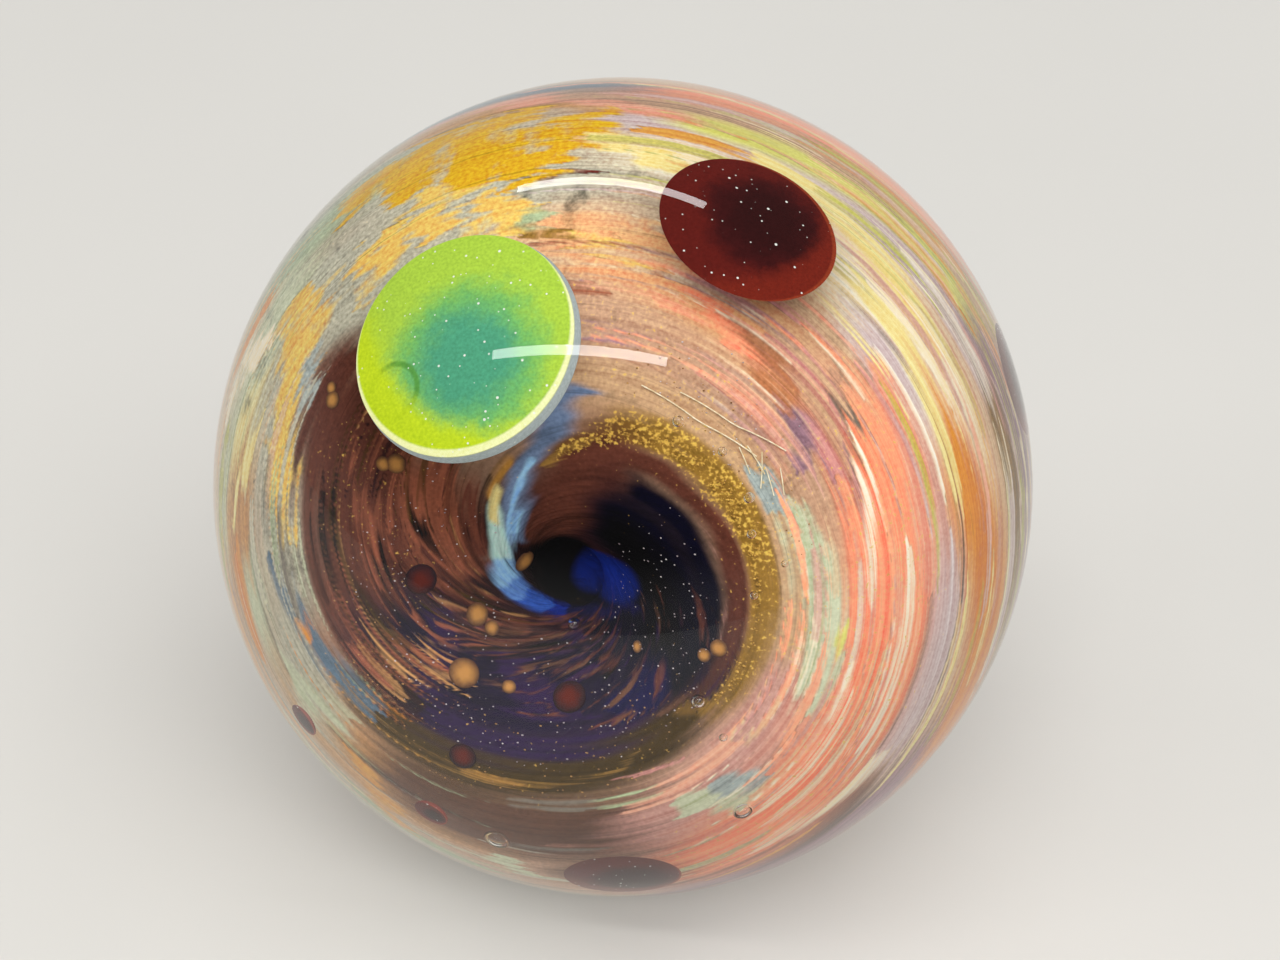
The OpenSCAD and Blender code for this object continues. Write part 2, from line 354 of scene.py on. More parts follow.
# Where gold grains, grainy glass and silky lines show: strength, half width and places
GRAIN = [
    (0.9, 0.032, [(384, 0.58), (400, 0.595), (421, 0.585), (431, 0.56), (446, 0.47)]),
    (0.6, 0.028, [(338, 0.495), (350, 0.525), (368, 0.56), (386, 0.582)]),
    (0.3, 0.03, [(344, 0.455), (376, 0.52), (398, 0.54), (432, 0.50)]),
    (0.4, 0.12, [(4, 0.64), (40, 0.66), (70, 0.70), (92, 0.78)]),
    (0.2, 0.08, [(212, 0.56), (250, 0.50), (300, 0.46), (340, 0.46)]),
    (0.3, 0.12, [(170, 0.42), (150, 0.58)]),
    (0.45, 0.16, [(310, 0.82), (350, 0.84), (384, 0.92)]),
]
CRUMB = [
    (0.9, 0.24, [(88, 1.00), (112, 1.16), (130, 1.18), (152, 1.02)]),
    (1.0, 0.07, [(152, 0.92), (168, 0.76), (180, 0.68)]),
    (0.5, 0.14, [(40, 0.68), (70, 0.72), (92, 0.80)]),
]
SILK = [
    (1.0, 0.16, [(330, 1.10), (360, 1.20), (400, 1.28), (440, 1.36)]),
    (0.8, 0.16, [(310, 0.82), (350, 0.84), (384, 0.92)]),
    (0.8, 0.14, [(164, 1.05), (190, 1.05), (216, 1.00)]),
    (0.6, 0.20, [(190, 0.40), (240, 0.34), (300, 0.34)]),
    (0.6, 0.12, [(276, 0.60), (330, 0.64)]),
]

# The run of the swirl: degrees that its arms turn each time they come e times nearer to the eye, and
# degrees that its rings turn in a ball radius; the distance where arms become rings, and the least that
# counts; how far the rings lie off the eye, and towards which angle
ARM_TWIST, RING_TWIST = 120, 900
RING_S, EYE_S = 0.45, 0.05
RING_DRIFT, DRIFT_AT = 0.15, 75

# The wavering of the strokes: its most in degrees and in ball radii, and its waves round the eye and
# outwards
WAVER_DEG, WAVER_S = 7, 0.03
WAVES_ROUND, WAVES_OUT = 2.2, 5
WAVER_SEED = 8
noise.seed_set(WAVER_SEED)

# Thin streaks of each zone: how many, between which angles and distances, half their width, their length in
# degrees and their colours
THREAD_SEED = 7
THREAD_PLACES = 4
THREADS = [
    (150, (295, 425), (0.58, 0.95), 0.006, 30, "cream coral salmon rose coral pink sand"),
    (150, (330, 436), (0.95, 1.60), 0.007, 36, "straw cream orange lilac salmon moss rose"),
    (100, (140, 300), (0.66, 1.30), 0.007, 30, "sand orange sage mint stone smoke amber"),
    (240, (175, 360), (0.16, 0.50), 0.004, 40, "violet plum brick indigo ink plum violet"),
    (220, (115, 215), (0.24, 0.66), 0.004, 34, "copper ink umber plum aubergine copper tan"),
    (80, (20, 100), (0.58, 0.84), 0.006, 24, "rose_brown sand fawn copper mauve salmon"),
    (130, (0, 360), (1.55, 2.60), 0.018, 60, "sand rose mint slate coral straw plum"),
]
THREAD_COVER = (0.35, 0.8)


def linear(colour):
    """A hex sRGB colour as linear red, green, blue and alpha"""
    parts = [int(colour[i:i + 2], 16) / 255 for i in (1, 3, 5)]
    return [c / 12.92 if c <= 0.04045 else ((c + 0.055) / 1.055) ** 2.4 for c in parts] + [1.0]


def smooth(x):
    """Eases from 0 to 1 as x does"""
    x = np.clip(x, 0, 1)
    return x * x * (3 - 2 * x)


def stroke_mask(theta, s, half, places, edge=0.6, taper=False):
    """Share of a stroke at each place: 1 in its middle, easing to 0 past half its width. A tapered
    stroke thins out towards its ends."""
    gain = np.full(theta.shape, -np.inf)
    for i, ((t0, s0), (t1, s1)) in enumerate(zip(places, places[1:])):
        x = ((theta - (t0 + t1) / 2 + 180) % 360 - 180) / TURN_SPAN
        y = s - (s0 + s1) / 2
        run = np.array([(t1 - t0) / 2 / TURN_SPAN, (s1 - s0) / 2])
        along = np.clip((x * run[0] + y * run[1]) / (run @ run), -1, 1)
        width = half
        if taper:
            share = (i + (along + 1) / 2) / (len(places) - 1)
            width = half * (0.15 + 1.7 * np.sqrt(share * (1 - share)))
        far = np.hypot(x - along * run[0], y - along * run[1])
        gain = np.maximum(gain, (width * (1 + edge) - far) / (2 * edge * width))
    return smooth(gain)


def painted(theta, s, strokes, base=None):
    """Colour and cover of a layer of strokes, over a base colour that covers all or over nothing. A
    stroke may end with the most that it covers."""
    rgba = np.zeros((len(s), 4))
    if base:
        rgba[:] = linear(PALETTE[base])
    for colour, half, places, *most in strokes:
        reach = [place[1] for place in places]
        near = np.flatnonzero((s > min(reach) - 2 * half) & (s < max(reach) + 2 * half))
        share = stroke_mask(theta[near], s[near], half, places, taper=not base)[:, None]
        share = share * (most or [1])[0]
        under = rgba[near]
        below = under[:, 3:] * (1 - share)
        cover = np.maximum(below + share, 1e-6)
        rgba[near, :3] = (below * under[:, :3] + share * linear(PALETTE[colour])[:3]) / cover
        rgba[near, 3:] = cover
    return rgba


def strength(theta, s, marks):
    """The strongest of a set of marks at each place"""
    shares = [power * stroke_mask(theta, s, half, places) for power, half, places in marks]
    return np.max(shares, axis=0)


def with_iris(theta, s, rgba):
    """The colours with the oval of the iris laid over them, darker towards its edge"""
    x = s * np.cos(np.radians(theta)) - IRIS_AT[0]
    y = s * np.sin(np.radians(theta)) - IRIS_AT[1]
    along = x * math.cos(IRIS_ANGLE) + y * math.sin(IRIS_ANGLE)
    aside = y * math.cos(IRIS_ANGLE) - x * math.sin(IRIS_ANGLE)
    far = np.hypot(along / IRIS_HALF[0], aside / IRIS_HALF[1])[:, None]
    cover = smooth((1.15 - far) / 0.3)
    return rgba * (1 - cover) + cover * (1 - 0.5 * smooth(far)) * np.array(linear(PALETTE["cobalt"]))


def wound(r):
    """Degrees that a stripe has turned by the time it has come in to radius r"""
    return STRIPE_TWIST / 2 * np.log(1 + (WIND_R / r) ** 2)


def drift(theta, s):
    """How far the rings of the swirl lie off the eye, in ball radii"""
    return RING_DRIFT * smooth(s / RING_S) * np.cos(np.radians(theta - DRIFT_AT))


def stream(theta, s):
    """The angle at which a streak of the swirl would start, and its distance from the swirl's own middle"""
    ring = np.maximum(s - drift(theta, s), EYE_S)
    arm = ARM_TWIST * np.log(RING_S / np.minimum(ring, RING_S))
    turned = np.where(ring < RING_S, arm, RING_TWIST * (RING_S - ring))
    return theta - turned, ring


def threads():
    """Thin streaks of the colours of each zone, which run with the swirl"""
    draw = random.Random(THREAD_SEED)
    strokes = []
    for count, (t0, t1), (s0, s1), half, length, colours in THREADS:
        for _ in range(count):
            theta, ring = draw.uniform(t0, t1), draw.uniform(s0, s1)
            step = draw.uniform(0.5, 1.0) * length / (THREAD_PLACES - 1)
            places = []
            for _ in range(THREAD_PLACES):
                places.append((theta, ring + float(drift(theta, ring))))
                ring -= step / (ARM_TWIST / ring if ring < RING_S else RING_TWIST)
                theta += step
            colour, width = draw.choice(colours.split()), half * draw.uniform(0.5, 1.5)
            strokes.append((colour, width, places, draw.uniform(*THREAD_COVER)))
    return strokes


FINE_STREAKS = threads() + WISPS


def wavering(theta, s):
    """Angles and distances shifted a little at random, so that strokes waver as melted glass does"""
    start, ring = stream(theta, s)
    a = np.radians(start)
    spots = np.stack([WAVES_ROUND * np.cos(a), WAVES_ROUND * np.sin(a), WAVES_OUT * ring], -1)
    shift = np.array([noise.noise_vector(p) + 0.5 * noise.noise_vector(2.3 * p) for p in map(Vector, spots)])
    return theta + WAVER_DEG * shift[:, 0], s + WAVER_S * smooth(s / RING_S) * shift[:, 1]


def section(s, skin=0.0):
    """Radius and height along the axis of the core's outside at arc length s, pared down by skin"""
    a = FLOOR_ANGLE + (s - FLOOR_S) * BALL_R / LIP_R
    polar = LIP_ANGLE + (s - ROUND_S) * BALL_R / CORE_R
    on_lip = s < ROUND_S
    r = np.where(on_lip, LIP_RING_R - (LIP_R - skin) * np.cos(a), (CORE_R - skin) * np.sin(polar))
    z = np.where(on_lip, LIP_Z + (LIP_R - skin) * np.sin(a), (CORE_R - skin) * np.cos(polar))
    return r, z


def bead_edge(skin=0.0):
    """Arc length at which the lip, pared down by skin, meets the bead"""
    reach = math.hypot(LIP_RING_R, LIP_Z - BEAD_Z)
    lip = LIP_R - skin
    opening = math.acos((reach ** 2 + lip ** 2 - BEAD_R ** 2) / (2 * reach * lip))
    a = math.atan2(BEAD_Z - LIP_Z, LIP_RING_R) + opening
    return FLOOR_S + (a - FLOOR_ANGLE) * LIP_R / BALL_R


def end_s(skin):
    """Arc length at which the core's round, pared down by skin, reaches the end of the stripes"""
    return ROUND_S + CORE_R / BALL_R * (math.acos(-STRIPE_END / (CORE_R - skin)) - LIP_ANGLE)


def directions(at):
    """Directions across, up and out of the ball at a turn to the left and a rise in degrees"""
    turn, rise = (math.radians(a) for a in at)
    out = np.array([-math.sin(turn) * math.cos(rise), -math.cos(turn) * math.cos(rise), math.sin(rise)])
    across = np.array([math.cos(turn), -math.sin(turn), 0.0])
    return across, np.cross(out, across), out


def placed(r, z, theta, at=FUNNEL_AT):
    """Points at radius r, height z and angle theta in degrees about an axis out of the ball"""
    across, upward, out = directions(at)
    a = np.radians(theta)
    return (r * np.cos(a))[..., None] * across + (r * np.sin(a))[..., None] * upward + z[..., None] * out


def ribbed(theta, r):
    """How deep the fine ribs of the drawn-out glass lie under the core's outside"""
    phase = np.radians(theta - wound(r))
    return RIB_DEPTH * (0.5 + 0.3 * np.sin(23 * phase) + 0.2 * np.sin(61 * phase + 1.3))


def grid_faces(rows, cols, turned=False):
    """Quads over a grid of points that are numbered row by row, outwards where rows run from the eye"""
    i, j = np.meshgrid(np.arange(rows - 1), np.arange(cols - 1), indexing="ij")
    first = i * cols + j
    quads = np.stack([first, first + cols, first + cols + 1, first + 1], -1).reshape(-1, 4)
    return quads[:, ::-1] if turned else quads


def turned_form(r, z, cols, at=FUNNEL_AT):
    """A closed form turned from a half section that starts and ends on its axis out of the ball. Gives its
    points and faces, and the row and the angle in degrees of each point."""
    rings = len(r) - 2
    row = np.concatenate([[0], np.repeat(np.arange(1, rings + 1), cols), [rings + 1]])
    theta = np.concatenate([[0], np.tile(np.arange(cols) * 360 / cols, rings), [0]])
    points = placed(r[row], z[row], theta, at)
    last = rings * cols + 1
    faces = []
    for j in range(cols):
        k = (j + 1) % cols
        faces.append([0, 1 + j, 1 + k])
        faces.append([last, last - cols + k, last - cols + j])
    for i in range(rings - 1):
        low = 1 + i * cols
        faces.extend([low + j, low + cols + j, low + cols + (j + 1) % cols, low + (j + 1) % cols]
                     for j in range(cols))
    return points, faces, row, theta


def mesh_piece(name, points, faces, mat, sharp=math.radians(40)):
    """An object of points and faces, smooth but for its sharp edges"""
    mesh = bpy.data.meshes.new(name)
    mesh.from_pydata(points.reshape(-1, 3).tolist(), [], faces)
    mesh.materials.append(mat)
    mesh.update()
    mesh.shade_smooth()
    mesh.set_sharp_from_angle(angle=sharp)
    piece = bpy.data.objects.new(name, mesh)
    bpy.context.scene.collection.objects.link(piece)
    return piece


def give(piece, name, kind, values):
    """Stores values for a piece's first points, and zeros for the rest, for its material to read"""
    field = "vector" if kind == "FLOAT_VECTOR" else "color"
    full = np.zeros((len(piece.data.vertices), values.shape[1]))
    full[:len(values)] = values
    piece.data.attributes.new(name, kind, "POINT").data.foreach_set(field, full.ravel())


def paint(piece, theta, s):
    """Lays the core's colours on a piece whose points lie at these angles and distances from the eye"""
    start, ring = stream(theta, s)
    a = np.radians(start)
    give(piece, "stream", "FLOAT_VECTOR", np.stack([np.cos(a), np.sin(a), ring], -1))
    true_place = theta, s
    theta, s = wavering(theta, s)
    ground = painted(theta, s, GROUND, GROUND_COLOUR)
    give(piece, "ground", "FLOAT_COLOR", with_iris(*true_place, ground))
    busy = np.stack([np.ones_like(s)] * 3 + [1 - strength(theta, s, QUIET)], -1)
    give(piece, "ribbon", "FLOAT_COLOR", busy * painted(theta, s, RIBBONS))
    give(piece, "wisp", "FLOAT_COLOR", busy * painted(theta, s, FINE_STREAKS))
    marks = [strength(theta, s, layer) for layer in (GRAIN, CRUMB, SILK)]
    give(piece, "finish", "FLOAT_COLOR", np.stack(marks + [np.ones_like(s)], -1))


def node(tree, kind, inputs=None, **settings):
    """Adds a node with its settings, and its inputs as values or as links from other nodes' outputs"""
    new = tree.nodes.new(kind)
    for key, value in settings.items():
        setattr(new, key, value)
    for key, value in (inputs or {}).items():
        if isinstance(value, bpy.types.NodeSocket):
            tree.links.new(value, new.inputs[key])
        else:
            new.inputs[key].default_value = value
    return new


def material(name):
    """A new material with an empty node tree, what adds a node to it, and the places on the piece"""
    mat = bpy.data.materials.new(name)
    mat.use_nodes = True
    mat.node_tree.nodes.clear()
    add = partial(node, mat.node_tree)
    return mat, add, add("ShaderNodeTexCoord").outputs["Object"]


def opaque(add, colour, roughness):
    """Ends a material in coloured glass that takes its gloss from the clear glass over it"""
    glass = add("ShaderNodeBsdfPrincipled", {
        "Base Color": colour, "Roughness": roughness, "Specular IOR Level": 0.0})
    add("ShaderNodeOutputMaterial", {"Surface": glass.outputs["BSDF"]})


def clear_glass(name, cord_gap, low, high, ior):
    """Glass or air that is seen through, with faint cords of two tints in it. Light on its way to the
    colours inside passes straight through it."""
    mat, add, place = material(name)
    cords = add("ShaderNodeTexNoise", {"Vector": place, "Scale": 1 / cord_gap, "Detail": 1.0})
    tint = add("ShaderNodeMix", {0: cords.outputs["Fac"], 6: linear(low), 7: linear(high)}, data_type="RGBA")
    glass = add("ShaderNodeBsdfPrincipled", {
        "Base Color": tint.outputs[2], "Roughness": 0.0, "IOR": ior, "Transmission Weight": 1.0})
    through = add("ShaderNodeBsdfTransparent")
    path = add("ShaderNodeLightPath")
    lit = add("ShaderNodeMixShader", {
        0: path.outputs["Is Diffuse Ray"], 1: glass.outputs["BSDF"], 2: through.outputs["BSDF"]})
    shaded = add("ShaderNodeMixShader", {
        0: path.outputs["Is Shadow Ray"], 1: lit.outputs["Shader"], 2: through.outputs["BSDF"]})
    add("ShaderNodeOutputMaterial", {"Surface": shaded.outputs["Shader"]})
    return mat


def twisted_glass(flakes_run):
    """Coloured borosilicate rods, melted together and twisted: torn streaks that run with the twist, silky
    lines, crumbs, and grains and flakes of gold. Their places are stored on the pieces."""
    mat, add, place = material("twisted coloured glass")
    flow, ground, ribbon, wisp, finish = (
        add("ShaderNodeAttribute", attribute_name=name)
        for name in ("stream", "ground", "ribbon", "wisp", "finish"))
    gold, crumbly, silky = add("ShaderNodeSeparateColor", {"Color": finish.outputs["Color"]}).outputs

    def streaks(across, along, detail):
        scaled = add("ShaderNodeVectorMath", {0: flow.outputs["Vector"], 1: (across, across, along)},
                     operation="MULTIPLY")
        return add("ShaderNodeTexNoise", {
            "Vector": scaled.outputs[0], "Scale": 1.0, "Detail": detail, "Roughness": 0.62}).outputs["Fac"]

    def torn(layer, pattern, tear, below):
        level = add("ShaderNodeMath", {0: pattern, 1: tear, 2: layer.outputs["Alpha"]},
                    operation="MULTIPLY_ADD")
        cover = add("ShaderNodeMapRange", {
            "Value": level.outputs[0], "From Min": tear / 2 + 0.1, "From Max": tear / 2 + 1.0},
            interpolation_type="SMOOTHSTEP")
        return add("ShaderNodeMix", {0: cover.outputs[0], 6: below, 7: layer.outputs["Color"]},
                   data_type="RGBA").outputs[2]

    # Streaks of about 0.8 mm and 0.2 mm on the outside of the core, grit of 0.16 mm, and flakes of 1.2 mm by
    # 2.4 mm that are drawn out along their run
    broad = streaks(1.6, 3.0, 4.0)
    fine = streaks(5.0, 9.0, 3.0)
    grit = add("ShaderNodeTexNoise", {
        "Vector": place, "Scale": 1 / (0.16 * MM), "Detail": 1.0}).outputs["Fac"]
    lean = add("ShaderNodeVectorMath", {0: place, 1: flakes_run}, operation="DOT_PRODUCT")
    drawn = add("ShaderNodeMath", {0: lean.outputs["Value"], 1: -0.5}, operation="MULTIPLY")
    shift = add("ShaderNodeVectorMath", {0: flakes_run, "Scale": drawn.outputs[0]}, operation="SCALE")
    long = add("ShaderNodeVectorMath", {0: place, 1: shift.outputs[0]}, operation="ADD")
    flakes = add("ShaderNodeTexNoise", {
        "Vector": long.outputs[0], "Scale": 1 / (1.2 * MM), "Detail": 4.0, "Roughness": 0.55}).outputs["Fac"]
    torn_by = add("ShaderNodeMath", {0: crumbly, 1: 0.1}, operation="ADD")
    ragged = add("ShaderNodeMix", {0: torn_by.outputs[0], 2: broad, 3: flakes}).outputs[0]
    colour = torn(ribbon, ragged, 3.0, ground.outputs["Color"])
    colour = torn(wisp, fine, 2.6, colour)
    # Gold grains, where gold was strewn
    bed = add("ShaderNodeMath", {0: gold, 1: 0.30, 2: grit}, operation="MULTIPLY_ADD")
    grain = add("ShaderNodeMapRange", {"Value": bed.outputs[0], "From Min": 0.77, "From Max": 0.94})
    colour = add("ShaderNodeMix", {0: grain.outputs[0], 6: colour, 7: linear("#d8ab4e")},
                 data_type="RGBA").outputs[2]
    # Every rod is a little lighter or darker than the next, most where the glass is silky or crumbly
    sheen = add("ShaderNodeMath", {0: silky, 1: 0.6, 2: 0.6}, operation="MULTIPLY_ADD")
    rods = add("ShaderNodeMath", {0: fine, 1: 0.5}, operation="SUBTRACT")
    rods = add("ShaderNodeMath", {0: rods.outputs[0], 1: sheen.outputs[0], 2: 0.5}, operation="MULTIPLY_ADD")
    rough = add("ShaderNodeMath", {0: crumbly, 1: 0.3, 2: 0.3}, operation="MULTIPLY_ADD")
    crumbs = add("ShaderNodeMath", {0: grit, 1: 0.5}, operation="SUBTRACT")
    light = add("ShaderNodeMath", {0: crumbs.outputs[0], 1: rough.outputs[0], 2: rods.outputs[0]},
                operation="MULTIPLY_ADD")
    colour = add("ShaderNodeMix", {0: 1.0, 6: colour, 7: light.outputs[0]},
                 data_type="RGBA", blend_type="OVERLAY").outputs[2]
    opaque(add, colour, 0.45)
    return mat


def dot_glass(name, middle, band, rim, curl, painted_glow, line, under):
    """Opaque coloured glass pressed flush into the ball: clouds of colour from its middle to its rim, a
    curl, painted light that brightens it low down, a thin painted highlight by the rim, a pale side, and
    fine silvery flecks on top."""
    mat, add, place = material(name)
    spot = add("ShaderNodeAttribute", attribute_name="spot").outputs["Vector"]
    across, up, on_side = add("ShaderNodeSeparateXYZ", {0: spot}).outputs
    flat = add("ShaderNodeVectorMath", {0: spot, 1: (1, 1, 0)}, operation="MULTIPLY").outputs[0]
    share = add("ShaderNodeVectorMath", {0: flat}, operation="LENGTH").outputs["Value"]
    off = add("ShaderNodeVectorMath", {0: flat, 1: (0.16, -0.11, 0)}, operation="DISTANCE")
    cloud = add("ShaderNodeTexNoise", {
        "Vector": place, "Scale": 1 / (1.1 * MM), "Detail": 7.0, "Roughness": 0.72})
    far = add("ShaderNodeMath", {0: cloud.outputs["Fac"], 1: 0.5, 2: off.outputs["Value"]},
              operation="MULTIPLY_ADD").outputs[0]

    def shade(value, low, high, below, colour, most=1.0):
        cover = add("ShaderNodeMapRange", {
            "Value": value, "From Min": low, "From Max": high, "To Max": most},
            interpolation_type="SMOOTHSTEP")
        return add("ShaderNodeMix", {0: cover.outputs[0], 6: below, 7: linear(colour)},
                   data_type="RGBA").outputs[2]

    colour = shade(far, 0.52, 0.90, linear(middle), band)
    colour = shade(far, 0.78, 1.10, colour, rim)
    # The curl is part of a thin ring, and the painted light low down covers the rest of it
    bend = add("ShaderNodeVectorMath", {0: flat, 1: (-0.33, -0.62, 0)}, operation="DISTANCE")
    ring = add("ShaderNodeMath", {0: bend.outputs["Value"], 1: 0.23}, operation="SUBTRACT")
    thin = add("ShaderNodeMath", {0: ring.outputs[0]}, operation="ABSOLUTE")
    colour = shade(thin.outputs[0], 0.04, 0.01, colour, curl, 0.8)
    # Painted light: the dot is brighter towards the bottom, between the middle and the rim
    low = add("ShaderNodeMath", {0: up, 1: -1.0, 2: far}, operation="MULTIPLY_ADD")
    colour = shade(low.outputs[0], 1.25, 1.70, colour, painted_glow, 0.9)
    # Painted highlight: a thin pale line along the rim, on the lower right of the dot
    side = add("ShaderNodeMath", {0: across, 1: up}, operation="SUBTRACT")
    edge = add("ShaderNodeMath", {0: side.outputs[0], 1: 0.03, 2: share}, operation="MULTIPLY_ADD")
    colour = shade(edge.outputs[0], 0.965, 0.99, colour, line, 0.8)
    colour = shade(on_side, 0.2, 0.8, colour, under)
    grain = add("ShaderNodeTexNoise", {"Vector": place, "Scale": 1 / (0.13 * MM), "Detail": 2.0})
    colour = add("ShaderNodeMix", {0: 0.35, 6: colour, 7: grain.outputs["Fac"]},
                 data_type="RGBA", blend_type="OVERLAY").outputs[2]
    cells = add("ShaderNodeTexVoronoi", {"Vector": place, "Scale": 1 / (0.26 * MM)})
    picked = add("ShaderNodeMath", {0: cells.outputs["Color"], 1: -0.6, 2: 0.46}, operation="MULTIPLY_ADD")
    fleck = add("ShaderNodeMath", {0: picked.outputs[0], 1: cells.outputs["Distance"]}, operation="ADD")
    colour = shade(fleck.outputs[0], 0.17, 0.10, colour, "#dfe0d8", 0.9)
    opaque(add, colour, 0.3)
    return mat


def finished(piece, slot, *nodes):
    """Fixes a piece to the ball, in place of its solids. The slot is not used."""
    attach(piece, "root")
    if nodes:
        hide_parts(*nodes)


# The flakes of gold run straight out from the eye over the ball's left shoulder
FLAKES_AT, FLAKES_S = 118.0, np.array([1.20, 1.30])
flakes_ends = placed(*section(FLAKES_S), np.full(2, FLAKES_AT))
SWIRL = twisted_glass(tuple(Vector(np.diff(flakes_ends, axis=0)[0]).normalized()))
# Refractive index of borosilicate glass
GLASS_IOR = 1.47

# The stripes: each lies between its two edges from the bead out to its end, and has a wall all round
STEP_DEG = 0.8
STRIPE_ROWS = 220


def stripe_piece(name, slot, start, span):
    """One stripe of the core, from its outside to its inside, with the walls between them"""
    cols = round(span / STEP_DEG) + 1
    phase = np.linspace(start, start + span, cols)
    layers = []
    for skin in (0.0, STRIPE_T):
        s = np.linspace(bead_edge(skin), end_s(skin), STRIPE_ROWS)
        s = np.repeat(s[:, None], cols, 1)
        r, z = section(s, skin)
        theta = phase[None] + wound(r)
        if skin == 0:
            shown = theta.ravel(), s.ravel()
            r, z = section(s, ribbed(theta, r))
        layers.append(placed(r, z, theta).reshape(-1, 3))
    count = STRIPE_ROWS * cols
    outer = np.arange(count).reshape(STRIPE_ROWS, cols)
    faces = [grid_faces(STRIPE_ROWS, cols), grid_faces(STRIPE_ROWS, cols, turned=True) + count]
    for edge, turned in ((outer[:, 0], True), (outer[:, -1], False), (outer[0], False), (outer[-1], True)):
        wall = np.stack([edge[:-1], edge[1:], edge[1:] + count, edge[:-1] + count], -1)
        faces.append(wall[:, ::-1] if turned else wall)
    piece = mesh_piece(name + "_glass", np.concatenate(layers), np.concatenate(faces).tolist(), SWIRL)
    paint(piece, *shown)
    finished(piece, slot, name)


start = STRIPES_START
for stripe_name, stripe_slot, stripe_span in STRIPES:
    stripe_piece(stripe_name, stripe_slot, start, stripe_span)
    start += stripe_span

# The core behind the stripes: the seat of the bead, the bed of the stripes, the step at their end and
# the round back, where the colours run on
CORE_COLS, SEAT_ROWS, BED_ROWS, BACK_ROWS = 360, 10, 60, 110
seat_top = math.acos((section(bead_edge(STRIPE_T), STRIPE_T)[1] - BEAD_Z) / BEAD_R)
seat_polar = np.linspace(math.pi, seat_top, SEAT_ROWS)
bed_s = np.linspace(bead_edge(STRIPE_T), end_s(STRIPE_T), BED_ROWS)
back_s = np.linspace(end_s(0), BACK_S, BACK_ROWS)
bed_r, bed_z = section(bed_s, STRIPE_T)
back_r, back_z = section(back_s)
core_r = np.concatenate([BEAD_R * np.sin(seat_polar[:-1]), bed_r, back_r])
core_z = np.concatenate([BEAD_Z + BEAD_R * np.cos(seat_polar[:-1]), bed_z, back_z])
core_s = np.concatenate([np.full(len(seat_polar) - 1, FLOOR_S), bed_s, back_s])
points, faces, row, theta = turned_form(core_r, core_z, CORE_COLS)
on_back = core_s[row] >= end_s(0)
depth = np.where(on_back, ribbed(theta, np.maximum(core_r[row], THROAT_R)), 0)
points -= depth[:, None] * points / np.linalg.norm(points, axis=1)[:, None]
core = mesh_piece("core_glass", points, faces, SWIRL)
paint(core, theta, core_s[row])
finished(core, "dark_glass", "core")

# The bead that closes the throat
BEAD_COLS, BEAD_ROWS = 72, 48
polar = np.linspace(0, math.pi, BEAD_ROWS)
bead_r = BEAD_R * np.sin(polar)
bead_s = np.interp(bead_r, [0, section(bead_edge())[0]], [0, bead_edge()])
bead_s = np.where(polar < math.pi / 2, bead_s, bead_edge())
points, faces, row, theta = turned_form(bead_r, BEAD_Z + BEAD_R * np.cos(polar), BEAD_COLS)
bead = mesh_piece("eye_bead_glass", points, faces, SWIRL)
paint(bead, theta, bead_s[row])
finished(bead, "cobalt_glass", "eye_bead")


def seat_sphere(d, depth):
    """Height of the centre, and radius, of the round that a dot of this diameter and depth sits in"""
    low = BALL_R - depth
    edge_z = math.sqrt(BALL_R ** 2 - (d / 2) ** 2)
    centre = (BALL_R ** 2 - low ** 2) / (2 * (edge_z - low))
    return centre, centre - low


def lens_rim(d, depth):
    """Radius of the rim of a lens-shaped dot, under its skin of clear glass"""
    centre, radius = seat_sphere(d, depth)
    top_r = BALL_R - DOT_SKIN
    height = (top_r ** 2 + centre ** 2 - radius ** 2) / (2 * centre)
    return math.sqrt(top_r ** 2 - height ** 2)


def dome(rim_r):
    """Half section of a dot's top, from the axis out to its rim"""
    top_r = BALL_R - DOT_SKIN
    a = np.linspace(0, math.asin(rim_r / top_r), DOT_ROWS)
    return top_r * np.sin(a), top_r * np.cos(a)


def bowl(d, depth):
    """Half section of a lens-shaped dot's underside, from its rim in to the axis"""
    centre, radius = seat_sphere(d, depth)
    a = np.linspace(math.asin(min(lens_rim(d, depth) / radius, 1)), 0, DOT_ROWS)
    return radius * np.sin(a), centre - radius * np.cos(a)


def tub(d, depth, corner):
    """Half section of a disc-shaped dot's side, rounded bottom edge and flat bottom, in to the axis"""
    low = BALL_R - depth
    rim_z = dome(d / 2)[1][-1]
    a = np.linspace(0, math.pi / 2, ROUND_ROWS)
    side_z = np.linspace(rim_z, low + corner, SIDE_ROWS)[:-1]
    flat_r = np.linspace(d / 2 - corner, 0, ROUND_ROWS)[1:]
    r = np.concatenate([np.full_like(side_z, d / 2), d / 2 - corner + corner * np.cos(a), flat_r])
    z = np.concatenate([side_z, low + corner - corner * np.sin(a), np.full_like(flat_r, low)])
    return r, z


def dot_piece(name, slot, top, under, at, spread, mat):
    """A dot turned from the half sections of its top and underside. It stores where each point lies across
    and up the dot, as a share of spread, and whether it is on the underside."""
    r, z = (np.concatenate([top[i], under[i][1:]]) for i in (0, 1))
    points, faces, row, theta = turned_form(r, z, DOT_COLS, at)
    piece = mesh_piece(name + "_glass", points, faces, mat)
    a = np.radians(theta)
    share = r[row] / spread
    spot = np.stack([share * np.cos(a), share * np.sin(a), row >= len(top[0])], -1)
    give(piece, "spot", "FLOAT_VECTOR", spot)
    finished(piece, slot, name)


DOT_COLS, DOT_ROWS, SIDE_ROWS, ROUND_ROWS = 120, 28, 6, 10
